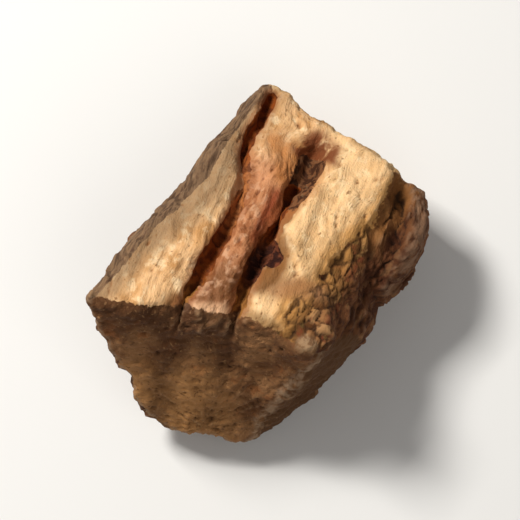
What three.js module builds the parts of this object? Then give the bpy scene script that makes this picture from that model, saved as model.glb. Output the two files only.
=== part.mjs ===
// One piece of dried, chopped gentian root, lying on its flat cut underside.
//
// Millimetres. +X is to the right, +Y is away from the viewer and +Z is up. The origin is on the
// ground, under the middle of the piece.
//
// The piece is a wedge chopped out of a thick root. Its top is a pale face cut along the grain,
// which leans back. Two furrows run along it where the soft growth layer has shrunk away. The
// front is broken across the grain. The right side and the lower left are the root's own wrinkled
// bark, and on the right a lip of cork stands out. The left and the back are chopped faces.
//
// The form is written as a depth function: how far a point lies outside the root, negative inside.
// A ball of points round the heart of the piece is drawn onto the surface where it is zero. The
// furrows and pits are then pressed straight into the cut face.

import * as THREE from 'three';
import { mergeVertices } from 'three/addons/utils/BufferGeometryUtils.js';
import { ImprovedNoise } from 'three/addons/math/ImprovedNoise.js';

// Driving dimensions, all in millimetres unless they say degrees.
const HEART = new THREE.Vector3(0.2, -0.6, 2.4); // deep inside, where all of the surface shows from
const RIDGE_HEIGHT = 8.0; // the highest edge, between the cut face and the broken front
const GRAIN_BEARING = 69.5; // degrees, the way the fibres run
const GRAIN_FALL = 21; // degrees, how far they dip towards the back
const EDGE_ROUNDING = 0.14; // how softly two faces meet
const BARK_BLEND = 0.35; // how far bark and bare sides run into each other
const BARK_RELIEF = 0.24; // height of the wrinkles in the bark

// The sides of the piece: the way each one looks, and a point that it passes through.
const FACES = {
  cut: { looks: heading(71, 67.5), through: [-6.0, -3.3, RIDGE_HEIGHT] },
  front: { looks: heading(-96, 27), through: [-2.19, -6.62, 1.93] },
  frontRight: { looks: heading(-51, 2), through: [3.38, -3.98, 5.0] },
  back: { looks: heading(92, -2), through: [0.3, 6.0, 3.4] },
  backRight: { looks: heading(51, -4), through: [3.01, 3.62, 3.52] },
  left: { looks: heading(138, 13), through: [-2.88, 1.96, 3.67] },
  frontUnder: { looks: heading(-103, -42), through: [-2.83, -7.01, 1.6] },
  backUnder: { looks: heading(70, -40), through: [0.6, 4.9, 0.8] },
  barkLeft: { looks: heading(161, -28), through: [-5.07, -4.78, 4.37] },
  barkTop: { looks: heading(4, 62), through: [2.7, -0.7, 5.75] },
  barkSlope: { looks: heading(-12, 33), through: [4.4, 0.4, 4.6] },
  barkSide: { looks: heading(-20, -8), through: [4.89, 0.13, 2.57] },
  barkUnder: { looks: heading(-28, -46), through: [3.26, -1.33, 0.66] },
};

// Swellings on the sides: a middle, the half-lengths across, along and out, and how softly they join.
const SWELLINGS = [
  { middle: [4.0, -0.1, 2.8], radii: [1.8, 2.2, 1.5], soft: 0.4 }, // the cork lip
  { middle: [5.25, 0.4, 3.5], radii: [0.6, 1.4, 0.65], soft: 0.4 }, // its upper rim
  { middle: [1.5, -4.3, 6.15], radii: [0.9, 1.0, 0.65], soft: 0.6 }, // the knuckle under the ridge
];

// Shallow hollows in the surface: a middle, a width and a depth.
const HOLLOWS = [
  { middle: [2.1, 4.7, 4.0], width: 0.7, depth: 0.45 }, // the step in the back right edge
  { middle: [3.4, -2.7, 5.2], width: 0.8, depth: 0.3 }, // the notch under the lip
  { middle: [-1.2, -4.0, 7.4], width: 2.0, depth: 0.55 }, // where the ridge is worn back
];

// The furrows and pits in the cut face: points of the line seen from above, half-width and depth.
const FURROWS = [
  {
    line: [
      [0.45, 5.2], [0.15, 4.35], [-0.3, 3.45], [-0.62, 2.7], [-0.5, 1.7],
      [-0.8, 0.7], [-1.2, -0.3], [-1.7, -1.3], [-2.17, -2.2], [-2.6, -3.0], [-2.95, -4],
    ],
    halfWidth: 0.21,
    depth: 0.75,
  },
  {
    line: [
      [1.3, 1.7], [1.05, 1.2], [0.95, 0.7], [0.65, 0.15], [0.3, -0.55],
      [-0.08, -1.3], [-0.35, -2.1], [-0.62, -2.8], [-0.85, -3.5], [-1.0, -4.1],
    ],
    halfWidth: 0.25,
    depth: 0.9,
  },
  { line: [[0.35, -1.0], [0.45, -1.3]], halfWidth: 0.33, depth: 1.05 }, // the lower pit
  { line: [[1.4, 1.95], [1.8, 2.6], [2.0, 3.0]], halfWidth: 0.45, depth: 0.75 }, // the upper pit
];
const FURROW_TOP = 0.1; // a furrow is at its deepest down to here below the cut face
const FURROW_REACH = 1.8; // and has run out here
const FURROW_WANDER = 0.12; // how far a furrow strays from its line
const FURROW_SWELL = 0.4; // share by which its width comes and goes

// The mesh: how fine it is, and how far out and how closely the surface is looked for.
const COARSE_EDGE = 0.61; // longest triangle edge on plain faces
const FINE_EDGE = 0.2; // longest triangle edge in the furrows and the pits
const FINE_BAND = 0.34; // how far from a furrow's line the fine triangles go
const BALL_DETAIL = 8; // how finely the first ball is divided
const ROUNDS = 4; // how often an edge may be halved
const OUTSIDE = 11; // farther from the heart than any of the surface
const STEP = 0.1;
const HALVINGS = 16;

// A unit vector that looks along a compass bearing (0 is +X, 90 is +Y) and rises above the ground.
function heading(bearing, rise) {
  const turn = THREE.MathUtils.degToRad(bearing);
  const lift = THREE.MathUtils.degToRad(rise);
  return new THREE.Vector3(Math.cos(lift) * Math.cos(turn), Math.cos(lift) * Math.sin(turn), Math.sin(lift));
}

// The sides as planes: a normal, how far along it the plane lies, and whether it is bark.
const PLANES = Object.entries(FACES).map(([name, { looks, through }]) => ({
  looks,
  distance: looks.dot(new THREE.Vector3(...through)),
  isBark: name.startsWith('bark'),
}));
const CUT = PLANES[0];

// Three directions to measure the root in: along the grain, out of the cut face and across both.
const ALONG = heading(GRAIN_BEARING, -GRAIN_FALL);
const OUTWARD = CUT.looks.clone().addScaledVector(ALONG, -CUT.looks.dot(ALONG)).normalize();
const ACROSS = new THREE.Vector3().crossVectors(ALONG, OUTWARD);

const noise = new ImprovedNoise();
const point = new THREE.Vector3();
const offset = new THREE.Vector3();

// Smooth noise from -1 to 1 whose waves are about this long; each seed gives other waves.
function waves(p, length, seed) {
  return noise.noise(p.x / length + seed, p.y / length, p.z / length);
}

function smoothUnion(a, b, soft) {
  const overlap = Math.max(soft - Math.abs(a - b), 0) / soft;
  return Math.min(a, b) - (overlap * overlap * soft) / 4;
}

// A soft bump of height 1 that has faded out at about two widths.
function bump(distance, width) {
  return Math.exp(-((distance / width) ** 2));
}

function distanceToLine(line, x, y) {
  let nearest = Infinity;
  for (let i = 1; i < line.length; i++) {
    const [ax, ay] = line[i - 1];
    const [bx, by] = line[i];
    const share = ((x - ax) * (bx - ax) + (y - ay) * (by - ay)) / ((bx - ax) ** 2 + (by - ay) ** 2);
    const clamped = THREE.MathUtils.clamp(share, 0, 1);
    nearest = Math.min(nearest, Math.hypot(x - ax - clamped * (bx - ax), y - ay - clamped * (by - ay)));
  }
  return nearest;
}

// The chopped block: all the planes, meeting in softened edges.
function blockDepth(p) {
  let sum = 0;
  for (const plane of PLANES) {
    sum += Math.exp((plane.looks.dot(p) - plane.distance) / EDGE_ROUNDING);
  }
  return EDGE_ROUNDING * Math.log(sum);
}

function swellingDepth({ middle, radii }, p) {
  offset.set(...middle).sub(p);
  const scaled = Math.hypot(...[ACROSS, ALONG, OUTWARD].map((way, i) => offset.dot(way) / radii[i]));
  return (scaled - 1) * Math.min(...radii);
}

// How much of the skin at a point is bark: 1 on the bark sides, 0 on the cut and broken ones.
function barkShare(p) {
  let bark = 0;
  let all = 0;
  for (const plane of PLANES) {
    const weight = Math.exp((plane.looks.dot(p) - plane.distance) / BARK_BLEND);
    all += weight;
    bark += plane.isBark ? weight : 0;
  }
  return bark / all;
}

// Wrinkles of the dried bark, drawn out along the grain.
function wrinkle(p) {
  const across = ACROSS.dot(p);
  const along = ALONG.dot(p);
  const out = OUTWARD.dot(p);
  const sway = 0.5 * noise.noise(along / 2, out / 2, 1.7);
  return 2 * Math.abs(noise.noise(across / 1.25 + sway, along / 5, out / 1.3)) - 0.6;
}

// How far p lies outside the root, before the furrows are pressed in.
function depthOutside(p) {
  let depth = blockDepth(p);
  for (const swelling of SWELLINGS) {
    depth = smoothUnion(depth, swellingDepth(swelling, p), swelling.soft);
  }
  for (const { middle, width, depth: pressed } of HOLLOWS) {
    depth += pressed * bump(offset.set(...middle).distanceTo(p), width);
  }
  depth += 0.16 * waves(p, 1.8, 9) + 0.09 * waves(p, 0.67, 4);
  depth += BARK_RELIEF * barkShare(p) * wrinkle(p);
  return Math.max(depth, -p.z); // the flat underside
}

// How deep the furrows and pits are pressed in at a point of the unpressed surface.
function furrowDepth(p) {
  const below = CUT.distance - CUT.looks.dot(p);
  const wander = FURROW_WANDER * noise.noise(p.x / 0.77, p.y / 0.77, 7.5);
  const swell = 1 + FURROW_SWELL * noise.noise(p.x / 1.1, p.y / 1.1, 3.1);
  let deepest = 0;
  for (const { line, halfWidth, depth } of FURROWS) {
    deepest = Math.max(deepest, depth * bump(distanceToLine(line, p.x + wander, p.y), halfWidth * swell));
  }
  return deepest * (1 - THREE.MathUtils.smoothstep(below, FURROW_TOP, FURROW_REACH));
}

// The point of the finished surface in one direction from the heart.
function surfacePoint(direction) {
  const isOutside = (distance) => depthOutside(point.copy(HEART).addScaledVector(direction, distance)) > 0;
  let outside = OUTSIDE;
  while (isOutside(outside - STEP)) {
    outside -= STEP;
  }
  let inside = outside - STEP;
  for (let halving = 0; halving < HALVINGS; halving++) {
    const middle = (inside + outside) / 2;
    if (isOutside(middle)) {
      outside = middle;
    } else {
      inside = middle;
    }
  }
  const found = HEART.clone().addScaledVector(direction, inside);
  return found.addScaledVector(CUT.looks, -furrowDepth(found));
}

// The longest edge wanted at a point of the surface.
function wantedEdge(p) {
  const fromFurrow = Math.min(...FURROWS.map(({ line }) => distanceToLine(line, p.x, p.y)));
  const onTop = CUT.distance - CUT.looks.dot(p) < FURROW_REACH;
  if (onTop && fromFurrow < FINE_BAND) {
    return FINE_EDGE;
  }
  const onGround = p.z < STEP / 2;
  return onGround ? 2 * COARSE_EDGE : COARSE_EDGE;
}

// One triangle as one to four, by which of its edges have a point halfway.
function splitTriangle(corners, halves) {
  const cuts = halves.filter((half) => half >= 0).length;
  const odd = halves.findIndex((half) => (cuts === 1 ? half >= 0 : half < 0));
  const first = Math.max(odd, 0);
  const [a, b, c] = [0, 1, 2].map((i) => corners[(first + i) % 3]);
  const [ab, bc, ca] = [0, 1, 2].map((i) => halves[(first + i) % 3]);
  return [
    [[a, b, c]],
    [[a, ab, c], [ab, b, c]],
    [[a, b, bc], [a, bc, ca], [ca, bc, c]],
    [[a, ab, ca], [ab, b, bc], [ca, bc, c], [ab, bc, ca]],
  ][cuts];
}

// Halves every edge that is longer than wanted, a few times over. New points go onto the surface.
function refined(triangles, vertices, directions) {
  for (let round = 0; round < ROUNDS; round++) {
    const middles = new Map();
    const middleOf = (a, b) => {
      const key = a < b ? `${a} ${b}` : `${b} ${a}`;
      if (!middles.has(key)) {
        const between = vertices[a].clone().lerp(vertices[b], 0.5);
        const isLong = vertices[a].distanceTo(vertices[b]) > wantedEdge(between);
        middles.set(key, isLong ? vertices.length : -1);
        if (isLong) {
          directions.push(directions[a].clone().add(directions[b]).normalize());
          vertices.push(surfacePoint(directions.at(-1)));
        }
      }
      return middles.get(key);
    };
    triangles = triangles.flatMap((corners) => {
      const halves = corners.map((corner, i) => middleOf(corner, corners[(i + 1) % 3]));
      return splitTriangle(corners, halves);
    });
  }
  return triangles;
}

function rootGeometry() {
  const ball = new THREE.IcosahedronGeometry(1, BALL_DETAIL);
  ball.deleteAttribute('normal');
  ball.deleteAttribute('uv');
  const merged = mergeVertices(ball, 1e-5);
  const start = merged.getAttribute('position');
  const directions = [];
  for (let i = 0; i < start.count; i++) {
    directions.push(new THREE.Vector3().fromBufferAttribute(start, i).normalize());
  }
  const corners = [...merged.index.array];
  const coarse = [];
  for (let i = 0; i < corners.length; i += 3) {
    coarse.push(corners.slice(i, i + 3));
  }

  const vertices = directions.map(surfacePoint);
  const triangles = refined(coarse, vertices, directions);
  const geometry = new THREE.BufferGeometry();
  geometry.setFromPoints(vertices);
  geometry.setIndex(triangles.flat());
  geometry.computeBoundingBox();
  const middle = geometry.boundingBox.getCenter(new THREE.Vector3());
  geometry.translate(-middle.x, -middle.y, -geometry.boundingBox.min.z);
  geometry.computeVertexNormals();
  return geometry;
}

const driedRoot = new THREE.MeshStandardMaterial({ color: 0xd9b483, roughness: 0.9, metalness: 0 });

const rootChunk = new THREE.Mesh(rootGeometry(), driedRoot);
rootChunk.name = 'root_chunk';

const gentianRoot = new THREE.Group();
gentianRoot.add(rootChunk);

export default gentianRoot;
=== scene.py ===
# %% [markdown]
# # One chopped piece of dried gentian root
#
# Gentian root is dug, dried until it is hard and shrunken, and chopped. A piece shows three kinds of
# surface: the pale, crumbly flesh where a blade went along the grain, the duller brown end where it
# broke across, and the dark, wrinkled bark. The growth layer inside the flesh shrinks the most, and
# dries into dark furrows.
#
# The lesson starts from the plain solid of the piece, which is loaded first and never changed. A
# finely meshed copy of it gets the relief that a lens would show, then one material paints it.

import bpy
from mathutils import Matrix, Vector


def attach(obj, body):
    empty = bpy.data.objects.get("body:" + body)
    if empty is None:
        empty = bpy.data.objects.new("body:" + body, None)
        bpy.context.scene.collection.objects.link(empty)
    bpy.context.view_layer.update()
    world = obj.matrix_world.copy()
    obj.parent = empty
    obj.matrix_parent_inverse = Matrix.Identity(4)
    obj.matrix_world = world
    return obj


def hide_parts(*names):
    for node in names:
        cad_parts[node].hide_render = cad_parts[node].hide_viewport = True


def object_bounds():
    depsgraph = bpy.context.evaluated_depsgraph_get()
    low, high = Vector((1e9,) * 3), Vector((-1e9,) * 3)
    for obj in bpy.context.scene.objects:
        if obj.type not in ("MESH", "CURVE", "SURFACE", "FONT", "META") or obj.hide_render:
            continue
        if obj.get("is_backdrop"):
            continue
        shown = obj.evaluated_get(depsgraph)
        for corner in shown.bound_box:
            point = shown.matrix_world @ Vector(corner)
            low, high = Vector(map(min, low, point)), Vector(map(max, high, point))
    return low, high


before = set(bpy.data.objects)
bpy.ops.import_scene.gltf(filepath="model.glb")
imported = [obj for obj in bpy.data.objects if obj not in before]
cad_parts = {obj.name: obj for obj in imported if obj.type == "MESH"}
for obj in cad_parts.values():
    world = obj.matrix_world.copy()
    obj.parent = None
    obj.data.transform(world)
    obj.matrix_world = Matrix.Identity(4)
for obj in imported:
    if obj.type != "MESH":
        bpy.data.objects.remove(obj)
cad_low, cad_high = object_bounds()
print("plain solid, in millimetres:", [round(1000 * v, 2) for v in cad_high - cad_low])

# %% [markdown]
# ## Measures, directions and colours
#
# Everything below is thought out in millimetres, because that is how a root is measured, and only
# turned to Blender's metres at the end. Five helpers come first: one for directions, given as a
# compass bearing and a rise, one for colours, given as the sRGB hex that a colour picker shows, one
# for soft steps, one for soft bumps, and one that prints the range of many numbers.

# %% Helpers for measures, directions and colours
import itertools
import math

import bpy
import numpy as np
from mathutils import Vector

MM = 0.001


def heading(bearing, rise):
    """A unit vector: bearing 0 is +X and 90 is +Y, and rise is above the ground, all in degrees."""
    flat = math.cos(math.radians(rise))
    east, north = math.cos(math.radians(bearing)), math.sin(math.radians(bearing))
    return np.array([flat * east, flat * north, math.sin(math.radians(rise))])


def linear(hex_colour):
    """An sRGB hex colour as the linear RGBA that Blender works in."""
    parts = [int(hex_colour[i : i + 2], 16) / 255 for i in (0, 2, 4)]
    return (*[c / 12.92 if c <= 0.04045 else ((c + 0.055) / 1.055) ** 2.4 for c in parts], 1.0)


def ramp(values, low, high):
    """0 below low, 1 above high and a smooth rise between them. It falls where low is above high."""
    t = np.clip((values - low) / (high - low), 0, 1)
    return t * t * (3 - 2 * t)


def bulge(distance, width, power=2):
    """1 at no distance, fading to nothing at about two widths. A higher power makes a flatter top."""
    return np.exp(-((distance / width) ** power))


def span(values, digits=2):
    """The least and the greatest of many numbers, as words."""
    return f"from {values.min():.{digits}f} to {values.max():.{digits}f}"


print("one millimetre is", MM, "of Blender's metres")

# %% [markdown]
# ## The directions of the root
#
# Plant tissue is not the same in all directions. Its fibres and vessels run along the root, so every
# pattern here is drawn in the root's own three directions: across the grain, along it, and out of
# the cut face. The drawing of the solid was centred on the origin after it was made, and the shift
# below takes places from that drawing to the frame.

# %% The root's own directions
DRAWING_SHIFT = np.array([-0.0027, 0.6556, 0.0])  # millimetres, from the drawing to the frame
ALONG = heading(69.5, -21)
CUT_LOOKS = heading(71, 67.5)
OUTWARD = CUT_LOOKS - ALONG * (CUT_LOOKS @ ALONG)
OUTWARD /= np.linalg.norm(OUTWARD)
ACROSS = np.cross(ALONG, OUTWARD)
GRAIN_AXES = np.stack([ACROSS, ALONG, OUTWARD], axis=1)

# The sides of the piece: the way each looks, and a point of the drawing that it passes through.
SIDES = {
    "cut": (CUT_LOOKS, (-6.0, -3.3, 8.0)),
    "front": (heading(-96, 27), (-2.19, -6.62, 1.93)),
    "front_right": (heading(-51, 2), (3.38, -3.98, 5.0)),
    "back": (heading(92, -2), (0.3, 6.0, 3.4)),
    "back_right": (heading(51, -4), (3.01, 3.62, 3.52)),
    "left": (heading(138, 13), (-2.88, 1.96, 3.67)),
    "front_under": (heading(-103, -42), (-2.83, -7.01, 1.6)),
    "back_under": (heading(70, -40), (0.6, 4.9, 0.8)),
    "bark_left": (heading(161, -28), (-5.07, -4.78, 4.37)),
    "rind": (heading(4, 62), (2.7, -0.7, 5.75)),
    "bark_slope": (heading(-12, 33), (4.4, 0.4, 4.6)),
    "bark_side": (heading(-20, -8), (4.89, 0.13, 2.57)),
    "bark_under": (heading(-28, -46), (3.26, -1.33, 0.66)),
    "underside": (heading(0, -90), (0.0, 0.0, 0.0)),
}
print("grain runs", np.round(ALONG, 2), "and the cut face looks", np.round(CUT_LOOKS, 2))

# %% [markdown]
# ## A fine skin
#
# The plain solid has facets that the eye can see, up to half a millimetre long or more. A
# subdivision rounds them, and a voxel remesh then lays an even net of small squares over the whole
# form, also in the furrows. An even net matters, because relief that is moved point by point is only
# as sharp as the net is fine. Sculpting by hand would do as well, but would not come out the same
# twice.

# %% Make the fine skin
VOXEL = 0.073  # millimetres between the points of the net
REMOVE_FACETS = 6  # rounds of smoothing that take the solid's facets away


def apply_modifier(piece, kind, **settings):
    """Adds one modifier and makes it real at once."""
    modifier = piece.modifiers.new(kind.lower(), kind)
    for name, value in settings.items():
        setattr(modifier, name, value)
    with bpy.context.temp_override(object=piece, active_object=piece, selected_objects=[piece]):
        bpy.ops.object.modifier_apply(modifier=modifier.name)


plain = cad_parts["root_chunk"]
root = bpy.data.objects.new("dried_root", plain.data.copy())
bpy.context.scene.collection.objects.link(root)
apply_modifier(root, "WELD", merge_threshold=0.002 * MM)
apply_modifier(root, "SUBSURF", levels=1)
apply_modifier(root, "REMESH", mode="VOXEL", voxel_size=VOXEL * MM)
print("net points:", len(root.data.vertices), "squares:", len(root.data.polygons))

# %% [markdown]
# ## Numbers for every point
#
# Blender's own noise works on one point at a time. With some ninety thousand points it is handier to
# hold them in one numpy array, so that each rule below is a single line for all of them. Neighbours
# come from the net's edges: averaging a point with its neighbours a few times gives a smoothed
# surface, and how far a point lies above that surface says whether it is on an edge or in a hollow.

# %% Read the net into arrays
net = root.data
point_count = len(net.vertices)
edge_ends = np.empty(len(net.edges) * 2, np.int64)
net.edges.foreach_get("vertices", edge_ends)
edge_ends = edge_ends.reshape(-1, 2)
edge_count_at = np.bincount(edge_ends.ravel(), minlength=point_count)


def read_points():
    """The net's points in millimetres."""
    flat = np.empty(point_count * 3)
    net.vertices.foreach_get("co", flat)
    return flat.reshape(-1, 3) / MM


def read_normals():
    flat = np.empty(point_count * 3, np.float32)
    net.vertices.foreach_get("normal", flat)
    return flat.reshape(-1, 3).astype(float)


def write_points(places):
    net.vertices.foreach_set("co", (places * MM).astype(np.float32).ravel())
    net.update()


def neighbour_mean(values, rounds):
    """Values averaged with their neighbours, as often as asked."""
    a, b = edge_ends.T
    for _ in range(rounds):
        columns = [
            np.bincount(a, v[b], point_count) + np.bincount(b, v[a], point_count)
            for v in values.reshape(point_count, -1).T
        ]
        values = ((np.stack(columns, 1) / edge_count_at[:, None]).reshape(values.shape) + values) / 2
    return values


points = neighbour_mean(read_points(), REMOVE_FACETS)
write_points(points)
drawn = points - DRAWING_SHIFT  # the same points as places in the drawing
grain = drawn @ GRAIN_AXES  # and as distances across, along and out
print("box in millimetres:", np.round(points.min(0), 2), np.round(points.max(0), 2))

# %% [markdown]
# ## Noise made from whole numbers
#
# Natural relief needs chance, but the piece has to come out the same each time. So each little cube
# of space gets a random number worked out from its own coordinates, and no random state is kept.
# Blending those numbers gives soft lumps. A random spot in each cube gives a space full of rounded
# cells, which serve as pores, crumbs and plates of cork.

# %% Noise functions
CORNERS = list(itertools.product((0, 1), repeat=3))
AROUND = list(itertools.product((-1, 0, 1), repeat=3))
LATTICE_SHIFT = 100.5  # cubes that the noise is moved by, so that its own origin is off the piece
FAR = 99.0  # farther than anything that is measured below


def chance(cells_at, seed):
    """A repeatable random number from 0 to 1 for each whole-number cell.

    The large odd numbers have no meaning: they scramble the bits, as in any hash function.
    """
    x, y, z = (cells_at.astype(np.int64) & 0xFFFFF).T.astype(np.uint64)
    mixed = x * 73856093 + y * 19349663 + z * 83492791 + seed * 2654435761
    mixed = (mixed ^ (mixed >> 13)) & 0xFFFFFFFF
    mixed = (mixed * 1540483477) & 0xFFFFFFFF
    mixed = ((mixed ^ (mixed >> 15)) * 2246822519) & 0xFFFFFFFF
    return ((mixed ^ (mixed >> 11)) & 0xFFFFFF) / 0xFFFFFF


def lumps(places, spacing, seed):
    """Soft noise from -1 to 1. Spacing is in millimetres, one number or one for each direction."""
    scaled = places / np.asarray(spacing) + LATTICE_SHIFT
    cell = np.floor(scaled)
    within = scaled - cell
    fade = within * within * (3 - 2 * within)
    total = np.zeros(len(places))
    for corner in CORNERS:
        weight = np.prod(np.where(np.array(corner) == 1, fade, 1 - fade), axis=1)
        total += weight * chance(cell + corner, seed)
    return 2 * total - 1


def rough(places, spacing, seed, layers=3):
    """Lumps with finer lumps on them."""
    total = sum(lumps(places, np.asarray(spacing) / 2**i, seed + i) / 2**i for i in range(layers))
    return total / (2 - 0.5 ** (layers - 1))


def creased(places, spacing, seed):
    """Rounded swells from 0 to 1 that meet in sharp creases, as shrunken skin does."""
    return np.minimum(np.abs(lumps(places, spacing, seed)) * 2.2, 1)


def cells(places, spacing, seed):
    """Rounded cells: the way to the middle and to the wall, in spacings, and the cell's own number."""
    scaled = places / np.asarray(spacing) + LATTICE_SHIFT
    home = np.floor(scaled)
    nearest, second = np.full(len(places), FAR), np.full(len(places), FAR)
    number = np.zeros(len(places))
    for step in AROUND:
        cell = home + step
        middle = cell + np.stack([chance(cell, seed + i) for i in range(3)], axis=1)
        distance = np.linalg.norm(scaled - middle, axis=1)
        closer = distance < nearest
        second = np.where(closer, nearest, np.minimum(second, distance))
        nearest = np.where(closer, distance, nearest)
        number = np.where(closer, chance(cell, seed + 3), number)
    return nearest, (second - nearest) / 2, number


GRAIN_STRAY = 0.22  # millimetres that the grain strays, because it is never ruler-straight
wander = np.stack([lumps(grain, 0.9, 5 + i) for i in range(3)], axis=1)
swayed = grain + GRAIN_STRAY * wander
print("the grain strays by up to", round(GRAIN_STRAY * float(np.abs(wander).max()), 2), "mm")

# %% [markdown]
# ## Which side is which
#
# Each point belongs to the side that it lies furthest out along. Where two sides tie, at an edge,
# it belongs to both in part, and a little noise keeps the border from being ruler-straight.

# %% Share every point out among the sides
SIDE_BLEND = 0.1  # millimetres over which one side turns into the next
BORDER_WANDER = 0.2  # millimetres that a border strays

heights = {}
for number, (name, (looks, through)) in enumerate(SIDES.items()):
    stray = BORDER_WANDER * rough(drawn, 1.1, 40 + 3 * number)
    heights[name] = drawn @ looks - looks @ np.array(through) + stray


def max_height(names):
    """How far each point lies out along the side, of those named, that it lies furthest out along."""
    return np.max([heights[name] for name in names], axis=0)


weights = {name: np.exp((h - max_height(SIDES)) / SIDE_BLEND) for name, h in heights.items()}
share = {name: w / sum(weights.values()) for name, w in weights.items()}
bark = sum(share[name] for name in SIDES if name.startswith("bark"))
front = share["front"] + share["front_right"] + share["front_under"]
back = share["back"] + share["back_right"] + share["back_under"]
for name, part in {"cut": share["cut"], "bark": bark, "front": front, "back": back}.items():
    print(f"{name}: {part.mean():.0%} of the points")

# %% [markdown]
# ## The furrows and other lines of the cut face
#
# Two furrows follow the growth layer along the cut face, within a tenth of a millimetre of where the
# solid has them, and two pits lie along the right one. Other lines part the cream flesh from the
# mottled rind beside the bark and from the older, greyed edge on the left, and mark the crisp edge of
# the flesh that overhangs the right furrow. The rest are stains, and the rim of the cork lip. All
# lines are drawn as seen from above, and those with a left and a right side run from the front to
# the back.

# %% Draw the lines
# Each stop on a line is its place, x and y, and the half-width of what it draws.
LEFT_FURROW = [
    (-2.95, -4.0, 0.16), (-2.6, -3.0, 0.22), (-2.17, -2.2, 0.25), (-1.7, -1.3, 0.25), (-1.2, -0.3, 0.22),
    (-0.76, 0.7, 0.2), (-0.44, 1.7, 0.18), (-0.55, 2.7, 0.23), (-0.3, 3.45, 0.25), (0.15, 4.35, 0.22),
    (0.45, 5.2, 0.15),
]
RIGHT_FURROW = [
    (-1.0, -4.1, 0.18), (-0.85, -3.5, 0.22), (-0.62, -2.8, 0.26), (-0.35, -2.1, 0.28), (-0.08, -1.3, 0.28),
    (0.3, -0.55, 0.26), (0.65, 0.15, 0.25), (0.95, 0.7, 0.25), (1.05, 1.2, 0.25), (1.3, 1.7, 0.22),
]
LOWER_PIT = [(0.15, -1.8, 0.3), (0.34, -1.35, 0.42), (0.45, -0.95, 0.34)]
UPPER_PIT = [(1.25, 0.75, 0.26), (1.4, 1.2, 0.4), (1.6, 2.0, 0.44), (1.85, 2.5, 0.46)]
RED_STAIN = [(1.5, 3.0, 0.3), (2.0, 3.3, 0.42), (2.45, 2.9, 0.4), (2.6, 2.4, 0.15)]
OCHRE_STAIN = [(0.6, 3.1, 0.2), (1.0, 2.6, 0.36), (0.95, 1.9, 0.3)]
PIT_STAIN = [(0.0, -2.5, 0.12), (0.3, -2.1, 0.3), (0.6, -1.75, 0.3)]
CORNER_STAIN = [(-3.7, -3.75, 0.12), (-3.15, -3.55, 0.3), (-2.85, -3.1, 0.3)]
RUST_STAIN = [(-0.1, -0.6, 0.14), (0.3, 0.1, 0.26), (0.68, 1.0, 0.26)]
OLD_EDGE = [
    (-6.6, -3.8, 0.0), (-5.8, -2.75, 0.0), (-3.94, -0.28, 0.0), (-2.07, 1.74, 0.0), (-1.48, 3.08, 0.0),
    (-0.79, 4.41, 0.0), (-0.3, 5.4, 0.0),
]
FLAKE_EDGE = [
    (1.27, -1.76, 0.0), (0.97, -1.12, 0.0), (0.9, -0.24, 0.0), (1.27, 0.32, 0.0), (1.86, 1.21, 0.0),
    (2.54, 1.89, 0.0),
]
RIND_LINE = [
    (-0.6, -4.7, 0.0), (0.2, -4.1, 0.0), (0.8, -3.8, 0.0), (0.95, -3.3, 0.0), (1.15, -2.75, 0.0),
    (2.0, -2.35, 0.0), (2.43, -1.34, 0.0), (3.23, -0.42, 0.0), (4.25, 0.6, 0.0), (4.75, 1.45, 0.0),
    (5.4, 2.5, 0.0),
]
LIP_RIM = [(4.4, -2.1, 0.1), (5.3, -0.9, 0.13), (5.7, 0.3, 0.15), (5.58, 1.4, 0.2), (5.2, 2.2, 0.16)]
print("stops in the furrows:", len(LEFT_FURROW), "and", len(RIGHT_FURROW))

# %% [markdown]
# ## Measuring from the lines
#
# One function says for every point how far it lies inside a line's width, and on which side of the
# line it is. The furrows press the skin in along the way that the cut face looks, so the points are
# first put back up to where they were, and the noise that makes the lines ragged is added there.

# %% Measure from the lines
def from_line(places, line):
    """How far each place lies inside the line's width, and how far to the right of the line."""
    plan = places[:, :2]
    nearest = np.full(len(places), FAR)
    inside, rightward = -nearest, -nearest
    for (ax, ay, a_half), (bx, by, b_half) in zip(line, line[1:]):
        start, step = np.array([ax, ay]), np.array([bx - ax, by - ay])
        reach = np.clip((plan - start) @ step / (step @ step), 0, 1)
        distance = np.linalg.norm(plan - start - reach[:, None] * step, axis=1)
        side = np.sign(step[1] * (plan - start)[:, 0] - step[0] * (plan - start)[:, 1])
        closer = distance < nearest
        nearest = np.where(closer, distance, nearest)
        inside = np.where(closer, a_half + reach * (b_half - a_half) - distance, inside)
        rightward = np.where(closer, side * distance, rightward)
    return inside, rightward


DEEPEST = 1.2  # millimetres, the deepest that a furrow is pressed in
below_cut = SIDES["cut"][0] @ np.array(SIDES["cut"][1]) - drawn @ CUT_LOOKS
unpressed = drawn + np.clip(below_cut, 0, DEEPEST)[:, None] * CUT_LOOKS
behind = unpressed[:, 1]  # how far towards the back
ragged = unpressed + 0.09 * np.stack([rough(unpressed, 0.5, 60 + 4 * i) for i in range(3)], axis=1)
near_top = ramp(below_cut, 1.9, 1.1)  # 1 in the upper millimetre and 0 from 1.9 millimetres down
in_left, right_of_left = from_line(ragged, LEFT_FURROW)
in_right, right_of_right = from_line(ragged, RIGHT_FURROW)
in_lower_pit, _ = from_line(ragged, LOWER_PIT)
in_upper_pit, _ = from_line(ragged, UPPER_PIT)
in_rust, _ = from_line(unpressed, RUST_STAIN)
in_pit_stain, _ = from_line(ragged, PIT_STAIN)
in_corner_stain, _ = from_line(ragged, CORNER_STAIN)
in_red_stain, _ = from_line(ragged, RED_STAIN)
in_ochre_stain, _ = from_line(ragged, OCHRE_STAIN)
_, past_flake_edge = from_line(ragged, FLAKE_EDGE)
_, past_rind_line = from_line(ragged, RIND_LINE)
_, past_old_edge = from_line(ragged, OLD_EDGE)
in_rim, _ = from_line(drawn, LIP_RIM)
in_furrow = np.maximum(in_left, in_right)
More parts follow.
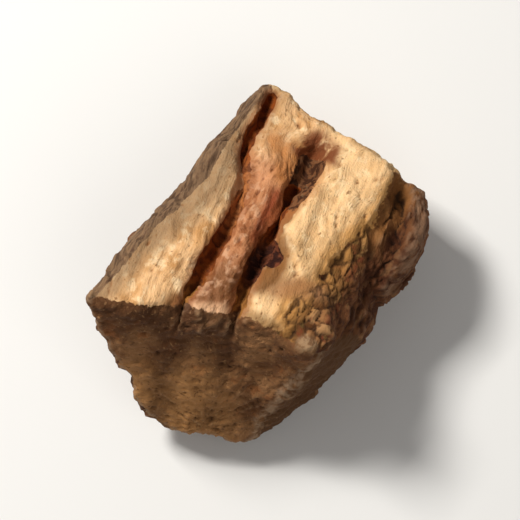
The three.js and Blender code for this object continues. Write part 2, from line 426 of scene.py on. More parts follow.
print("points inside a furrow:", int((near_top * (in_furrow > 0)).sum()))

# %% [markdown]
# ## Parts of the cut face
#
# From the lines come the parts of the cut face: the rust-coloured strip between the furrows, the
# rind beside the bark, the older edge on the left, and the rest, which is cream flesh. The rind is
# the soft inner bark. It dries to a brown crumb, and its border with the flesh is ragged. A valley
# parts it from the rim of the lip.

# %% Name the parts of the cut face
strip_width = np.maximum(right_of_left - right_of_right, 0.1)
across_strip = np.clip(right_of_left / strip_width, 0, 1)
strip = ramp(right_of_left, 0.0, 0.12) * ramp(right_of_right, 0.0, -0.12) * near_top
strip *= ramp(behind + 0.6 * lumps(ragged, 0.8, 71), 3.4, 1.6)
past_border = ramp(past_rind_line + 0.3 * rough(ragged, 0.6, 72), -0.15, 0.2)
right_of_pits = ramp(unpressed[:, 0] - 0.9 * unpressed[:, 1], 1.6, 2.4)
rind = (share["rind"] + share["cut"]) * past_border * right_of_pits
valley = ramp(in_rim, -0.04, -0.3) * ramp(in_rim, -1.1, -0.6)
valley *= ramp(drawn[:, 0], 5.6, 5.0) * ramp(drawn[:, 2], 2.4, 3.2)
crumbled = swayed + 0.12 * rough(swayed, 0.3, 78)[:, None]
_, crumb_wall, crumb_number = cells(crumbled, (0.34, 0.5, 0.34), 80)
old_cut = share["left"] + share["cut"] * ramp(past_old_edge + 0.12 * rough(ragged, 0.5, 74), 0.42, 0.2)
flesh = np.clip(1 - bark - front - rind, 0, 1)
print(f"strip: {strip.mean():.1%}, rind: {rind.mean():.1%}, flesh: {flesh.mean():.1%} of the points")

# %% [markdown]
# ## Relief of the flesh
#
# Dried flesh is a shrunken sponge. Under a lens it has soft crumbs a third of a millimetre across,
# fibres one or two tenths thick along the grain, small sunken pores between them and a few drying
# cracks. Because the noise is stretched along the grain in all three dimensions, the same rule draws
# streaks on a face cut along the grain and dots on one cut across it. In this cell and the next
# ones, the number before each pattern is its height in millimetres, and those inside it are the
# pattern's spacing, across, along and out, and its seed.

# %% Shape the flesh
def flesh_relief():
    swells = 0.07 * lumps(grain, (1.3, 2.6, 1.3), 10)
    crumbs = 0.036 * rough(swayed, 0.42, 11) + 0.022 * lumps(swayed, 0.16, 14)
    fibres = 0.045 * lumps(swayed, (0.22, 2.2, 0.22), 15) + 0.03 * lumps(swayed, (0.12, 1.1, 0.12), 16)
    to_middle, _, number = cells(swayed, (0.34, 0.62, 0.34), 17)
    pores = -0.1 * ramp(to_middle, 0.36, 0.12) * ramp(number, 0.5, 0.7)
    crack_lines = ramp(np.abs(lumps(swayed, (1.2, 6, 1.2), 21)), 0.05, 0.01)
    cracks = -0.12 * crack_lines * ramp(lumps(grain, 1.4, 23), 0.0, 0.4)
    ledges = 0.06 * ramp(lumps(swayed, (0.8, 2.6, 0.8), 22), -0.1, 0.1)
    return swells + crumbs + fibres + pores + cracks + ledges


on_flesh = flesh_relief()
print("relief of the flesh, in millimetres:", span(on_flesh))

# %% [markdown]
# ## Relief of the broken end
#
# Across the grain the root snaps short, without long fibres. The end is dull and rounded, with
# crumbs and soft dents. Faint arcs lie round the core, where one year's growth followed another, and
# rays run out from it. The far end was cut across as well, so it gets the same rays and arcs later.

# %% Shape the broken end
CORE = np.array([-1.2, -4.6, 1.2]) @ GRAIN_AXES  # where the arcs of growth have their middle
ARC_SPACING = 0.55
RAY_RADIUS = 3.0  # millimetres from the core at which the rays are as wide as their spacing says
DARK_DENT = np.array([-0.1, -5.4, 5.1])  # the wide dent under the right furrow
DENT_WIDTH = 1.2
across_core, _, out_of_core = (grain - CORE).T
from_core = np.hypot(across_core, out_of_core)
turn = RAY_RADIUS * np.arctan2(across_core, out_of_core)
rays = lumps(np.stack([turn, from_core, turn], axis=1), (0.26, 1.5, 9), 37)
arcs = np.sin(from_core * 2 * math.pi / ARC_SPACING + 2.4 * lumps(grain, 1.3, 36))


def broken_relief():
    dents = 0.12 * lumps(drawn, 1.7, 30)
    dents -= 0.3 * bulge(np.linalg.norm(drawn - DARK_DENT, axis=1), DENT_WIDTH)
    crumbs = 0.1 * rough(drawn, 0.6, 31, layers=4) + 0.03 * lumps(drawn, 0.16, 35)
    to_middle, to_wall, number = cells(swayed, 0.42, 38)
    pores = -0.11 * ramp(to_middle, 0.36, 0.1) * ramp(number, 0.55, 0.75) + 0.04 * ramp(to_wall, 0.0, 0.16)
    return dents + crumbs + 0.018 * arcs + 0.07 * rays + pores


on_end = broken_relief()
print("relief of the broken end, in millimetres:", span(on_end))

# %% [markdown]
# ## Relief of the rind and the bark
#
# The rind breaks into rounded crumbs with gaps between them, which the material darkens with a painted
# shade. The bark is a thin cork that shrank with the root: deep folds along the grain, finer wrinkles on
# them, low rings across, and small plates where it has cracked. At the lip it curls up into a thick rim
# with a few soft wrinkles.

# %% Shape the rind and the bark
def rind_relief():
    crumbs = (0.04 + 0.12 * crumb_number) * ramp(crumb_wall, 0.0, 0.22)
    return crumbs + 0.09 * rough(swayed, 0.7, 84) + 0.03 * lumps(swayed, 0.15, 87) - 0.12


def bark_relief():
    folds = 0.26 * creased(grain + 0.3 * wander, (1.15, 4.5, 1.15), 50)
    wrinkles = 0.12 * creased(swayed, (0.42, 1.6, 0.42), 52) + 0.05 * creased(swayed, (0.19, 0.5, 0.19), 53)
    _, to_wall, number = cells(swayed, (0.3, 0.55, 0.3), 54)
    plates = (0.04 + 0.06 * number) * ramp(to_wall, 0.02, 0.14)
    rings = 0.05 * creased(swayed, (1.6, 0.45, 1.6), 58)
    folded = folds + wrinkles + plates + rings - 0.24
    rim = ramp(in_rim, -0.15, 0.12)
    smooth_rim = 0.06 + 0.06 * rough(swayed, 0.5, 90) + 0.07 * creased(swayed, (0.3, 0.9, 0.3), 93)
    return folded * (1 - 0.6 * rim) + smooth_rim * rim - 0.28 * valley


on_rind = rind_relief()
on_bark = bark_relief()
print("relief of the rind, in millimetres:", span(on_rind))
print("relief of the bark, in millimetres:", span(on_bark))

# %% [markdown]
# ## Relief of the growth layer
#
# The layer between the two furrows dried harder than the flesh, so it stands up as a rib with fine
# lines along it, and ends in small knobs at the front. The floor of each furrow is torn, and bridges
# of flesh fill it in part at the front and halfway. On the right the flesh overhangs it in a crisp
# flake.

# %% Shape the growth layer
def growth_relief():
    floor = 0.08 * rough(ragged, 0.35, 95) * ramp(in_furrow, -0.1, 0.1)
    steep_walls = -0.16 * ramp(in_furrow, -0.05, 0.12)
    bridge = 0.34 * ramp(in_left, -0.1, 0.1) * bulge(behind - 1.7, 0.9)
    bridge += 0.3 * ramp(in_right, -0.1, 0.1) * bulge(behind - 0.5, 0.8)
    bridge += 0.3 * ramp(in_left, -0.1, 0.1) * ramp(behind, -2.1, -3.1)
    bridge += 0.16 * ramp(in_right, -0.1, 0.1) * ramp(behind, -1.9, -2.7)
    torn = 0.16 * rough(drawn, 0.34, 126, layers=4)
    lower_pit = (torn - 0.12) * ramp(in_lower_pit, -0.12, 0.12) * ramp(below_cut, 0.1, 0.5)
    upper_pit = (0.14 * rough(ragged, 0.4, 98) - 0.06) * ramp(in_upper_pit, -0.3, 0.2)
    lines = 0.04 * lumps(swayed, (0.13, 1.8, 0.13), 101) + 0.05 * rough(swayed, (0.3, 0.6, 0.3), 102)
    rib = strip * (0.1 * np.sqrt(across_strip * (1 - across_strip)) + lines)
    _, to_wall, number = cells(ragged, 0.33, 103)
    knobs = strip * ramp(behind, -0.8, -2.2) * (0.1 * number * ramp(to_wall, 0.02, 0.25) - 0.02)
    flake = 0.17 * ramp(past_flake_edge, -0.03, 0.09) * ramp(past_flake_edge, 1.0, 0.3)
    hollows = floor + steep_walls + bridge + upper_pit
    return near_top * (hollows + rib + knobs + flake * share["cut"]) + lower_pit


on_growth = growth_relief()
print("relief of the growth layer, in millimetres:", span(on_growth))

# %% [markdown]
# ## Moving the points
#
# Every point now moves along its smoothed normal by the relief of the surfaces it belongs to. Sharp
# edges of a crumbly thing never stay whole, so small chips come off wherever the form stands out.
# A round knot stands up on the front edge, with a groove round it. The underside keeps its flat
# places, because the piece rests on them.

# %% Move the points
CHIP_DEPTH = 0.16
KNUCKLE = np.array([1.61, -4.6, 6.5])  # the middle of the knot
KNUCKLE_HEIGHT = 0.22
KNUCKLE_RADIUS = 0.42
GROOVE_DEPTH = 0.12
GROOVE_RADIUS = 0.66
GROOVE_WIDTH = 0.18
FLAT_UP_TO = 0.02  # millimetres above the ground where the relief begins
FULL_RELIEF_FROM = 0.35  # and where it has its full height
RESTS_BELOW = 0.03  # points that were lower than this are put down on the ground

from_knuckle = np.linalg.norm(drawn - KNUCKLE, axis=1)
normals = neighbour_mean(read_normals(), 3)
normals /= np.linalg.norm(normals, axis=1)[:, None]
on_an_edge = ramp(((points - neighbour_mean(points, 40)) * normals).sum(axis=1), 0.03, 0.12)
_, to_wall, number = cells(drawn, 0.6, 110)
chips = -CHIP_DEPTH * on_an_edge * ramp(number, 0.45, 0.6) * ramp(to_wall, 0.0, 0.12)

knuckle = KNUCKLE_HEIGHT * bulge(from_knuckle, KNUCKLE_RADIUS)
groove = GROOVE_DEPTH * bulge(from_knuckle - GROOVE_RADIUS, GROOVE_WIDTH)

relief = flesh * on_flesh + front * on_end + rind * on_rind + bark * on_bark
relief += 0.04 * back * rays
relief += on_growth + chips
relief += knuckle - groove
relief *= ramp(points[:, 2], FLAT_UP_TO, FULL_RELIEF_FROM)
print("relief of the whole skin, in millimetres:", span(relief))

moved = points + normals * relief[:, None]
moved[:, 2] = np.maximum(moved[:, 2], 0)
moved[points[:, 2] < RESTS_BELOW, 2] = 0
write_points(moved)
net.shade_smooth()
standing_out = ((moved - neighbour_mean(moved, 12)) * read_normals()).sum(axis=1)
print("points stand out, in millimetres:", span(standing_out, 3))

# %% [markdown]
# ## Masks for the material
#
# The material needs to know which surface it is painting. Each mask is stored with the points as a
# number from 0 to 1. Each point's place in the root's own directions is stored too, so that patterns
# in the material run along the grain as well. Painted image textures would do the same, but they
# need seams and files. The first masks part the sides. Where one is laid over another, the one below
# is a share of what the upper ones leave.

# %% Store which side is which
LEAST_SHARE = 0.01  # so that nothing is divided by zero
mask_names = []


def store(name, values):
    """Keeps one number for each point, for the material to read."""
    attribute = net.attributes.new(name, "FLOAT", "POINT")
    attribute.data.foreach_set("value", np.clip(values, 0, 1).astype(np.float32))
    mask_names.append(name)


grain_place = net.attributes.new("grain_place", "FLOAT_VECTOR", "POINT")
grain_place.data.foreach_set("vector", swayed.astype(np.float32).ravel())
under_bark = np.maximum(1 - bark, LEAST_SHARE)
under_end = np.maximum(under_bark - front, LEAST_SHARE)
end_sides = [name for name in SIDES if name.startswith("front")]
other_sides = [name for name in SIDES if not name.startswith(("front", "bark", "under"))]
past_end_border = max_height(end_sides) - max_height(other_sides) + 0.12 * rough(drawn, 0.3, 140)
store("bark", bark)
store("front", ramp(past_end_border, -0.18, 0.22))
store("rind", rind / under_end)
store("back", back / under_end)
store("old_cut", old_cut / under_end)
# painted shade: points that lie in a hollow of the skin are painted darker
store("hollow_shade", ramp(standing_out, -0.012, -0.08))
# edges that stand out are painted lighter, partly as wear and partly as a painted highlight
store("edge_wear_and_highlight", ramp(standing_out, 0.02, 0.11))
print("masks so far:", len(mask_names))

# %% [markdown]
# ### Masks of the flesh and the rind
#
# The flesh is painted darker beside the older edge, a painted shade, and lighter to the right of the right
# furrow, a painted light. It is stained in front of the lower pit and at the front on the left, and has a
# painted shade along the right side of the right furrow. It is golden beside the rind, and a patch at the
# front has a thin pinkish skin. The rind's crumbs each have a tone of their own, and the gaps between them
# get a painted shade.

# %% Store the masks of the flesh and the rind
PALE_PATCH = np.array([1.2, -2.5])  # the middle of the pinkish patch
PATCH_REACH = (1.25, 0.42)  # how far it goes to the sides, and to the front and back

tan_reach = 1.3 + 0.45 * ramp(behind, -2.0, 0.0)
# painted shade: the flesh darkens towards the older edge on the left
store("shade_by_old_edge", near_top * ramp((past_old_edge + 0.15 * rough(ragged, 0.6, 130)) / tan_reach, 1.0, 0.35))
store("stain", near_top * ramp(np.maximum(in_pit_stain, in_corner_stain), -0.3, 0.1))
right_side = near_top * ramp(behind, -2.6, -1.8) * ramp(right_of_right, -0.1, 0.1)
# painted shade along the right side of the right furrow
store("shaded_side", right_side * ramp(np.maximum(in_right, in_lower_pit), -0.5, -0.1))
# painted light: the flesh to the right of the right furrow is painted lighter
store("lit_right_flesh", near_top * ramp(right_of_right, 0.1, 0.7))
from_patch = (ragged[:, :2] - PALE_PATCH) / PATCH_REACH
store("pale_patch", np.exp(-((from_patch**2).sum(axis=1)) ** 2))
golden = ramp(past_rind_line, -0.6, -0.1)
golden *= ramp(past_rind_line + 0.35 * rough(ragged, 0.4, 132), 0.95, 0.25)
store("golden", golden * right_of_pits)
store("crumb", crumb_number)
# painted shade in the gaps between the rind's crumbs
store("crumb_gap_shade", ramp(crumb_wall, 0.1, 0.0))
print("masks so far:", len(mask_names))

# %% [markdown]
# ### Masks of the growth layer
#
# The strip changes from the front to the back, and a rust-coloured stain runs up its right side. The
# furrows, the pits and the stains round them follow the lines drawn above. Each has a soft border,
# which the material breaks up.

# %% Store the masks of the growth layer
left_middle = ramp(right_of_right, -0.4, -0.7) * bulge(behind - 1.1, 1.2, power=4)
lower_pit_mask = ramp(in_lower_pit, -0.18, 0.02) * ramp(below_cut, 0.12, 0.4)
stain_stray = 0.16 * rough(ragged, 0.6, 125)
store("strip", strip)
store("strip_back", ramp(behind, 0.9, 2.0))
store("strip_front", ramp(behind, -1.2, -2.1) * ramp(behind, -3.25, -2.9))
# painted highlight at the strip's front end
store("strip_end_highlight", ramp(behind, -2.9, -3.2))
store("rust", near_top * ramp(in_rust, -0.25, 0.12))
store("halo", near_top * ramp(in_furrow, -0.26, 0.0))
store("growth", np.maximum(near_top * ramp(in_furrow, -0.07, 0.05), lower_pit_mask))
store("growth_light", left_middle)
store("growth_front", ramp(behind, -1.7, -2.5))
# the deepest pit is painted nearly black, partly the sap's colour and partly a painted shade
store("deep_pit_shade", ramp(in_lower_pit, -0.45, 0.0))
store("pit", near_top * ramp(in_upper_pit, -0.24, 0.16))
store("red_stain", near_top * ramp(in_red_stain + stain_stray, -0.25, 0.15))
store("ochre_stain", near_top * ramp(np.maximum(in_ochre_stain, in_upper_pit) + stain_stray, -0.55, 0.1))
print("masks so far:", len(mask_names))

# %% [markdown]
# ### Masks of the two ends and the bark
#
# Seen on the ends, the growth layer is a sheet that goes straight into the root from each furrow. It
# darkens the broken end and draws a brown line across the pale far end. The broken end gets a painted shade
# at its upper left and its lower right, and a painted light at its lower left. A pale edge runs along its
# border with the sides beside and below it, partly its own colour and partly a painted highlight, and the
# knot gets a painted shadow round it.

# %% Store the masks of the ends and the bark
straight_in = drawn + np.maximum(below_cut, 0)[:, None] * CUT_LOOKS
in_sheet = np.maximum(from_line(straight_in, LEFT_FURROW)[0], from_line(straight_in, RIGHT_FURROW)[0])
store("end_stain", front * ramp(in_sheet + 0.3 * lumps(drawn, 0.8, 120), -0.8, 0.3))
store("back_line", back * ramp(in_sheet + 0.25 * lumps(drawn, 0.6, 133), -0.25, 0.1))
store("ray", 0.5 + 0.5 * rays)
store("arc", 0.5 + 0.5 * arcs)
# painted shade at the broken end's upper left and lower right, and painted light at its lower left
upper_left = ramp(drawn[:, 2], 5.6, 7.4) * ramp(drawn[:, 0], 0.5, -2.5)
lower_right = ramp(drawn[:, 0] - 0.6 * drawn[:, 2], -1.8, -0.2)
store("end_painted_shade", upper_left + lower_right)
store("end_painted_light", ramp(drawn[:, 2], 5.6, 3.6) * ramp(drawn[:, 0], -0.4, -1.8))
beside_end = [name for name in SIDES if name not in ("cut", "rind", "front", "back", "back_right")]
end_margin = heights["front"] - max_height(beside_end) + 0.1 * rough(drawn, 0.5, 129)
# a pale border round the broken end, partly its own colour and partly a painted highlight
store("end_border", ramp(np.abs(end_margin - 0.05), 0.3, 0.08))
store("end_side", ramp(end_margin, 0.05, -0.15))
from_end = max_height(["cut", "rind"]) - heights["front"]
store("by_end", ramp(from_end, 0.5, 0.1) * ramp(drawn[:, 0], -1.4, -0.4))
store("knuckle", ramp(from_knuckle + 0.1 * rough(drawn, 0.3, 142), 0.5, 0.28))
# painted shadow round the knot
store("shadow_round_knuckle", bulge(from_knuckle, 0.85, power=4))
store("rim", bark * ramp(in_rim, -0.12, 0.1) * ramp(drawn[:, 2], 1.5, 3.0))
store("valley", valley)
print("masks in all:", len(mask_names), "from", mask_names[0], "to", mask_names[-1])

# %% [markdown]
# ## A material of dried root tissue
#
# Dried plant tissue is matt: it scatters light from thousands of broken cell walls, so its roughness
# is high and its highlights are broad. A little light also travels through the flesh, which takes
# the hardness out of small shadows. Its patterns are built up as a painter would: a ground colour,
# then darker and lighter touches over it, each where its mask or its noise says.

# %% Helpers for the nodes
material = bpy.data.materials.new("dried_root_tissue")
material.use_nodes = True
tree = material.node_tree
tree.nodes.clear()

MIX_UNDER = 6  # the sockets of a Mix node that hold its two colours
MIX_OVER = 7
MIX_RESULT = 2  # and the one that gives the mixed colour


def add(kind, links=None, **settings):
    """Adds a node. Links go from an input's name or number to a value or to another node's output."""
    node = tree.nodes.new(kind)
    for name, value in settings.items():
        setattr(node, name, value)
    for name, source in (links or {}).items():
        if isinstance(source, bpy.types.NodeSocket):
            tree.links.new(source, node.inputs[name])
        else:
            node.inputs[name].default_value = source
    return node


def mask(name):
    return add("ShaderNodeAttribute", attribute_name=name).outputs["Fac"]


def painted(under, over, where):
    """One colour laid over another where a mask says so. Colours are sRGB hex or node outputs."""
    under, over = [linear(c) if isinstance(c, str) else c for c in (under, over)]
    links = {"Factor": where, MIX_UNDER: under, MIX_OVER: over}
    return add("ShaderNodeMix", links, data_type="RGBA").outputs[MIX_RESULT]


place = add("ShaderNodeAttribute", attribute_name="grain_place").outputs["Vector"]


def noise(across, along, seed, detail=3.0):
    """Noise in the root's own directions. Its lumps are this many millimetres across and along."""
    stretched = add(
        "ShaderNodeVectorMath", {0: place, 1: (1 / across, 1 / along, 1 / across), 2: (seed, seed, seed)},
        operation="MULTIPLY_ADD",
    )
    links = {"Vector": stretched.outputs[0], "Scale": 1.0, "Detail": detail}
    return add("ShaderNodeTexNoise", links).outputs["Fac"]


def step_up(value, low, high, top=1.0):
    """A number turned to 0 at low and to top at high."""
    links = {"Value": value, "From Min": low, "From Max": high, "To Max": top}
    return add("ShaderNodeMapRange", links, interpolation_type="SMOOTHSTEP").outputs["Result"]


def product(a, b):
    return add("ShaderNodeMath", {0: a, 1: b}, operation="MULTIPLY").outputs[0]


crumb_noise = noise(0.1, 0.15, 27)


def crumbled_mask(name):
    """A mask whose soft border is broken up into crumbs a tenth of a millimetre wide."""
    links = {0: crumb_noise, 1: 0.9, 2: mask(name)}
    broken = add("ShaderNodeMath", links, operation="MULTIPLY_ADD").outputs[0]
    return step_up(broken, 0.84, 1.04)


print("nodes so far:", len(tree.nodes))

# %% [markdown]
# ### Flesh and rind
#
# Fresh cut flesh is cream. Where it has stood in the air it turns tan and ochre in soft clouds, and single
# fibres and specks go brown. The rind is brown in crumbs up to half a millimetre wide, with clouds of red,
# where sap dried, and of olive among them. In the lines below, a hollow gets a painted shade, and an edge
# is painted lighter, partly as wear leaves it and partly as a painted highlight.

# %% Paint the flesh and the rind
fibres = noise(0.07, 1.1, 1)
specks = noise(0.13, 0.22, 2)

flesh_colour = painted("dfb07c", "c28d55", step_up(noise(0.7, 1.3, 3), 0.42, 0.66))
flesh_colour = painted(flesh_colour, "efcc9c", step_up(noise(0.36, 0.5, 4), 0.5, 0.66, 0.85))
flesh_colour = painted(flesh_colour, "a97745", step_up(fibres, 0.52, 0.75, 0.6))
# painted light on the flesh right of the right furrow
flesh_colour = painted(flesh_colour, "f2cb93", product(mask("lit_right_flesh"), 0.4))
flesh_colour = painted(flesh_colour, "bd8440", product(mask("golden"), 0.8))
# painted shade towards the older edge
flesh_colour = painted(flesh_colour, "86694a", product(mask("shade_by_old_edge"), 0.8))
flesh_colour = painted(flesh_colour, "99683f", product(mask("pale_patch"), 0.85))
flesh_colour = painted(flesh_colour, "8f6a40", product(mask("by_end"), 0.8))
flesh_colour = painted(flesh_colour, "764a22", product(mask("stain"), 0.9))
# painted shade along the right side of the right furrow
flesh_colour = painted(flesh_colour, "84552a", product(mask("shaded_side"), 0.9))
flesh_colour = painted(flesh_colour, "80572f", step_up(specks, 0.6, 0.74, 0.8))
# painted shade in the hollows
flesh_colour = painted(flesh_colour, "85562e", product(mask("hollow_shade"), 0.8))
# lighter edges: partly wear, partly a painted highlight
flesh_colour = painted(flesh_colour, "f4d6a8", product(mask("edge_wear_and_highlight"), 0.6))

rind_colour = painted("5e3818", "8e6038", step_up(mask("crumb"), 0.3, 0.7))
rind_colour = painted(rind_colour, "a87e52", step_up(mask("crumb"), 0.8, 0.9, 0.6))
rind_colour = painted(rind_colour, "6a2f18", step_up(noise(0.5, 0.6, 6), 0.52, 0.64, 0.75))
rind_colour = painted(rind_colour, "5f4a24", step_up(noise(0.4, 0.5, 28), 0.56, 0.68, 0.7))
golden_crumbs = product(mask("golden"), step_up(mask("crumb"), -0.1, 0.7, 0.85))
rind_colour = painted(rind_colour, "a8763c", golden_crumbs)
rind_colour = painted(rind_colour, "a87850", product(mask("pale_patch"), 0.7))
# painted shade in the gaps between the crumbs
rind_colour = painted(rind_colour, "2c1506", product(mask("crumb_gap_shade"), 0.7))
# painted shade in the hollows
rind_colour = painted(rind_colour, "241004", product(mask("hollow_shade"), 0.85))
# lighter edges: partly wear, partly a painted highlight
rind_colour = painted(rind_colour, "a98050", product(mask("edge_wear_and_highlight"), 0.4))
print("nodes so far:", len(tree.nodes))

# %% [markdown]
# ### The growth layer
#
# Its sap is rich in sugar and browns as it dries: rust in the strip and dark red-brown in the furrows. The
# deepest pit is nearly black, partly from the sap and partly from a painted shade. The strip's front end is
# a painted highlight, and its pale spots are partly its own tone and partly painted glints. The stain fades
# into the flesh on both sides.

# %% Paint the growth layer
strip_colour = painted("b67a50", "965a33", step_up(noise(0.2, 1.0, 8), 0.4, 0.6))
strip_colour = painted(strip_colour, "dc9f70", product(mask("strip_back"), 0.6))
strip_colour = painted(strip_colour, "764a28", product(mask("strip_front"), 0.85))
# pale spots on the strip, partly its own tone and partly painted glints
strip_colour = painted(strip_colour, "d0a07a", step_up(noise(0.34, 0.46, 24), 0.52, 0.66, 0.6))
# painted highlight at the strip's front end
strip_colour = painted(strip_colour, "e6b88c", product(mask("strip_end_highlight"), 0.65))
strip_colour = painted(strip_colour, "8c4222", product(mask("rust"), 0.95))
strip_colour = painted(strip_colour, "6f3a1a", step_up(noise(0.2, 0.3, 18), 0.56, 0.68, 0.55))
# painted shade in the hollows
strip_colour = painted(strip_colour, "5e2c12", product(mask("hollow_shade"), 0.85))
# lighter edges: partly wear, partly a painted highlight
strip_colour = painted(strip_colour, "e3b592", product(mask("edge_wear_and_highlight"), 0.5))

growth_colour = painted("84400f", "aa6836", mask("growth_light"))
growth_colour = painted(growth_colour, "94602a", mask("growth_front"))
growth_colour = painted(growth_colour, "431806", step_up(noise(0.2, 0.4, 9), 0.42, 0.62, 0.7))
# near-black painted shade mixed with the sap's dark brown in the deepest pit
deep_pit_shade_colour = painted("1f0a08", "6a3822", step_up(noise(0.22, 0.3, 26), 0.48, 0.66))
growth_colour = painted(growth_colour, deep_pit_shade_colour, product(mask("deep_pit_shade"), 0.9))
pit_colour = painted("74492a", "3c1e0a", step_up(noise(0.2, 0.26, 10), 0.4, 0.56))
pit_colour = painted(pit_colour, "7d6244", step_up(noise(0.16, 0.2, 19), 0.6, 0.7, 0.4))
print("nodes so far:", len(tree.nodes))

# %% [markdown]
# ### The broken end and the knot
#
# The broken end is brown with orange clouds, fine pores and pale crumbs, and darker where the growth layer
# meets it. It gets a painted shade at its upper left and lower right and a painted light at its lower left,
# and its pale border is partly a painted highlight. The knot on its edge is painted a little paler, as a
# painted highlight, with brown blotches, and stands in a painted shadow.

# %% Paint the broken end and the knot
end_colour = painted("8a603b", "684224", step_up(noise(1.0, 1.0, 11), 0.42, 0.62))
end_colour = painted(end_colour, "9a5c2e", step_up(noise(0.6, 0.6, 12), 0.56, 0.7, 0.5))
end_colour = painted(end_colour, "54371e", step_up(mask("ray"), 0.5, 0.75, 0.4))
# painted light at the lower left and painted shade at the upper left and lower right
end_colour = painted(end_colour, "be8850", product(mask("end_painted_light"), 0.7))
end_colour = painted(end_colour, "482810", product(mask("end_painted_shade"), 0.8))
end_colour = painted(end_colour, "4b2c15", product(mask("end_stain"), 0.65))
end_colour = painted(end_colour, "42240f", step_up(specks, 0.58, 0.7, 0.6))
end_colour = painted(end_colour, "a87c50", step_up(noise(0.14, 0.14, 25), 0.6, 0.72, 0.5))
end_colour = painted(end_colour, "57391f", product(mask("end_side"), 0.8))
# pale border, partly its own colour and partly a painted highlight
pale_and_highlit_border = product(mask("end_border"), step_up(noise(0.24, 0.3, 35), 0.34, 0.6, 0.85))
end_colour = painted(end_colour, "93765a", pale_and_highlit_border)
# painted shade in the hollows
end_colour = painted(end_colour, "3c2110", product(mask("hollow_shade"), 0.75))
# lighter edges: partly wear, partly a painted highlight
end_colour = painted(end_colour, "b99168", product(mask("edge_wear_and_highlight"), 0.6))
# painted shadow round the knot
end_colour = painted(end_colour, "4a2b14", product(mask("shadow_round_knuckle"), 0.6))

# the knot is painted paler than the end, as a painted highlight
knuckle_colour = painted("9a7a58", "6e4a2c", step_up(noise(0.16, 0.2, 34), 0.46, 0.62, 0.8))
# lighter edges: partly wear, partly a painted highlight
knuckle_colour = painted(knuckle_colour, "b4946e", product(mask("edge_wear_and_highlight"), 0.5))
print("nodes so far:", len(tree.nodes))

# %% [markdown]
# ### The far end, the older cut and the bark
#
# The far end is a fresh chop across the grain: pale, with faint rays and arcs, and the growth layer as a
# brown line. The left side is an older chop that has gone grey-brown. Cork is dark brown, and wear turns
# the rim of the lip to a dusty grey-brown. The cork's edges are painted lighter, partly wear and partly a
# painted highlight, and its hollows and the valley inside the lip get a painted shade.

# %% Paint the far end, the older cut and the bark
back_colour = painted("cda470", "a87c4c", step_up(mask("ray"), 0.4, 0.7))
back_colour = painted(back_colour, "93683a", step_up(mask("arc"), 0.7, 1.0, 0.4))
back_colour = painted(back_colour, "dcb684", step_up(noise(0.7, 0.7, 13), 0.5, 0.7, 0.7))
back_colour = painted(back_colour, "8a6238", step_up(noise(0.16, 0.16, 33), 0.56, 0.7, 0.6))
back_colour = painted(back_colour, "6b3615", product(mask("back_line"), 0.85))
# painted shade in the hollows
back_colour = painted(back_colour, "7d5833", product(mask("hollow_shade"), 0.8))
# lighter edges: partly wear, partly a painted highlight
back_colour = painted(back_colour, "f3dcb0", product(mask("edge_wear_and_highlight"), 0.6))

old_colour = painted("765a40", "4e3826", step_up(noise(0.1, 0.8, 14), 0.4, 0.64))
old_colour = painted(old_colour, "8f6e4e", step_up(noise(0.4, 1.6, 21), 0.48, 0.68, 0.6))
old_colour = painted(old_colour, "44281c", step_up(noise(0.2, 0.5, 31), 0.56, 0.7, 0.6))
# painted shade in the hollows
old_colour = painted(old_colour, "2e1c10", product(mask("hollow_shade"), 0.8))
# lighter edges: partly wear, partly a painted highlight
old_colour = painted(old_colour, "a5835e", product(mask("edge_wear_and_highlight"), 0.6))

bark_colour = painted("6c4224", "452410", step_up(noise(0.3, 0.7, 15), 0.42, 0.6))
bark_colour = painted(bark_colour, "86603c", step_up(noise(0.3, 0.6, 16), 0.54, 0.68, 0.7))
# lighter edges: partly wear, partly a painted highlight
bark_colour = painted(bark_colour, "8c6e54", product(mask("edge_wear_and_highlight"), 0.65))
# painted shade in the valley inside the lip
bark_colour = painted(bark_colour, "4a240c", product(mask("valley"), 0.6))
bark_colour = painted(bark_colour, "96622f", product(mask("golden"), 0.55))
dusty_rim = product(mask("rim"), step_up(noise(0.24, 0.5, 17), 0.36, 0.56, 0.85))
bark_colour = painted(bark_colour, "86644a", dusty_rim)
# painted shade in the hollows
bark_colour = painted(bark_colour, "1a0d06", product(mask("hollow_shade"), 0.85))
print("nodes so far:", len(tree.nodes))

# %% [markdown]
# ### Putting the paint together
#
# The flesh is laid first, with the far end, the older cut and the rind. Then come the growth layer
# and the stains that its sap left, and last the broken end, the bark and the knot, which cover all of
# them. Finer detail than the net can hold, fibres and crumbs below a tenth of a millimetre, is a
# bump, which bends the light without moving the surface. Only the sugary strip is a little waxy.

# %% Join the layers and finish the material
DRY_ROUGHNESS = 0.88
WAXY_LOSS = 0.2  # how much less rough the strip is
BUMP_HEIGHT = 0.045 * MM
LIGHT_TRAVELS = 0.25 * MM  # how far red light goes through the flesh

colour = painted(flesh_colour, back_colour, mask("back"))
colour = painted(colour, old_colour, crumbled_mask("old_cut"))
colour = painted(colour, rind_colour, crumbled_mask("rind"))
colour = painted(colour, strip_colour, mask("strip"))
colour = painted(colour, "b06e36", product(mask("ochre_stain"), 0.8))
colour = painted(colour, "703616", product(mask("red_stain"), step_up(noise(0.4, 0.6, 22), 0.2, 0.5, 0.95)))
colour = painted(colour, "96582f", product(mask("halo"), 0.55))
colour = painted(colour, pit_colour, crumbled_mask("pit"))
colour = painted(colour, growth_colour, crumbled_mask("growth"))
colour = painted(colour, end_colour, crumbled_mask("front"))
colour = painted(colour, bark_colour, crumbled_mask("bark"))
colour = painted(colour, knuckle_colour, product(mask("knuckle"), 0.9))

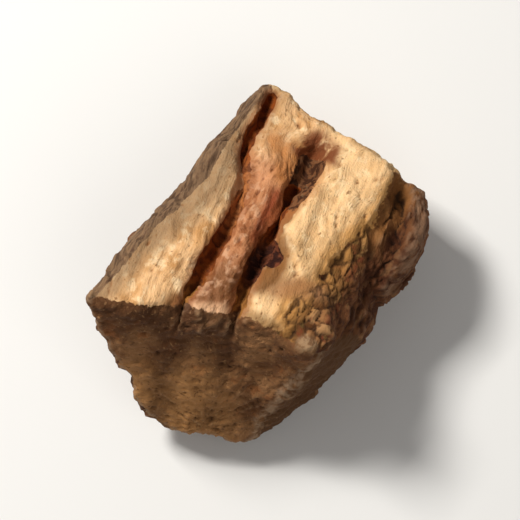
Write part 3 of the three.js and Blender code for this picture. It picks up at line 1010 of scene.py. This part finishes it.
tiny_crumbs = noise(0.06, 0.08, 20, detail=2.0)
height = add("ShaderNodeMath", {0: tiny_crumbs, 1: fibres}, operation="ADD").outputs[0]
bump = add("ShaderNodeBump", {"Strength": 0.8, "Distance": BUMP_HEIGHT, "Height": height})
waxy = step_up(mask("strip"), 0.0, 1.0, WAXY_LOSS)
roughness = add("ShaderNodeMath", {0: DRY_ROUGHNESS, 1: waxy}, operation="SUBTRACT").outputs[0]
shader = add("ShaderNodeBsdfPrincipled", {
    "Base Color": colour, "Roughness": roughness, "Specular IOR Level": 0.2, "Normal": bump.outputs[0],
    "Subsurface Weight": 0.06, "Subsurface Radius": (1.0, 0.5, 0.25), "Subsurface Scale": LIGHT_TRAVELS,
})
add("ShaderNodeOutputMaterial", {"Surface": shader.outputs[0]})
net.materials.clear()
net.materials.append(material)
print("nodes in the material:", len(tree.nodes))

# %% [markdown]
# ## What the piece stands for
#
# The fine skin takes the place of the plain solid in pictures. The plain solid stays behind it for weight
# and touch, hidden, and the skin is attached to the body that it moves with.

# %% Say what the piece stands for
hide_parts("root_chunk")
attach(root, "root")
print(root.name, "takes the place of", plain.name)

# %% [markdown]
# ## Floor, light and camera
#
# A pale paper floor shows the whole outline. The main light is soft and comes from behind on the
# left, low enough to rake over the cut face, and a weak one from the front opens the shadows. The
# camera looks down steeply through a long lens, as one photographs small things from above.

# %% Floor, light and camera
FIELD = 18.5  # millimetres that the picture is wide
ELEVATION = 78  # degrees that the camera looks down from
AIM = Vector((0, -0.25, 3.4)) * MM
LENS = 300  # millimetres, so long that near and far parts look almost equally large
FLOOR_WIDTH = 600 * MM

bpy.ops.mesh.primitive_plane_add(size=FLOOR_WIDTH)
floor = bpy.context.object
floor.name = "floor"
paper = bpy.data.materials.new("pale_paper")
paper.use_nodes = True
paper.node_tree.nodes["Principled BSDF"].inputs["Base Color"].default_value = linear("e2dfd9")
paper.node_tree.nodes["Principled BSDF"].inputs["Roughness"].default_value = 0.9
floor.data.materials.append(paper)
floor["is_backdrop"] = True


def soft_light(name, bearing, rise, distance, size, power):
    """A square lamp that faces the piece. Distance and size are in millimetres, power in watts."""
    lamp = bpy.data.lights.new(name, "AREA")
    lamp.size = size * MM
    lamp.energy = power
    lamp_object = bpy.data.objects.new(name, lamp)
    away = Vector(heading(bearing, rise))
    lamp_object.location = AIM + away * distance * MM
    lamp_object.rotation_euler = away.to_track_quat("Z", "Y").to_euler()
    bpy.context.scene.collection.objects.link(lamp_object)


soft_light("key", 142, 52, distance=120, size=30, power=0.175)
soft_light("fill", -60, 50, distance=160, size=120, power=0.05)
world = bpy.data.worlds.new("studio")
world.use_nodes = True
world.node_tree.nodes["Background"].inputs["Color"].default_value = linear("f2f2f5")
world.node_tree.nodes["Background"].inputs["Strength"].default_value = 0.22
bpy.context.scene.world = world
bpy.context.scene.view_settings.view_transform = "Standard"

camera_data = bpy.data.cameras.new("camera")
camera_data.lens = LENS
camera_data.clip_start = 0.01
camera_data.clip_end = 5
camera = bpy.data.objects.new("camera", camera_data)
away = Vector(heading(-90, ELEVATION))
camera.location = AIM + away * FIELD * MM * camera_data.lens / camera_data.sensor_width
camera.rotation_euler = away.to_track_quat("Z", "Y").to_euler()
bpy.context.scene.collection.objects.link(camera)
bpy.context.scene.camera = camera
print("the camera stands", round((camera.location - AIM).length / MM), "mm from the piece")

# %% Write the sizes and finish
low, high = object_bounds()
outside = (*(cad_low - low), *(high - cad_high))
print("skin outside the plain solid, in millimetres:", [round(1000 * v, 2) for v in outside])
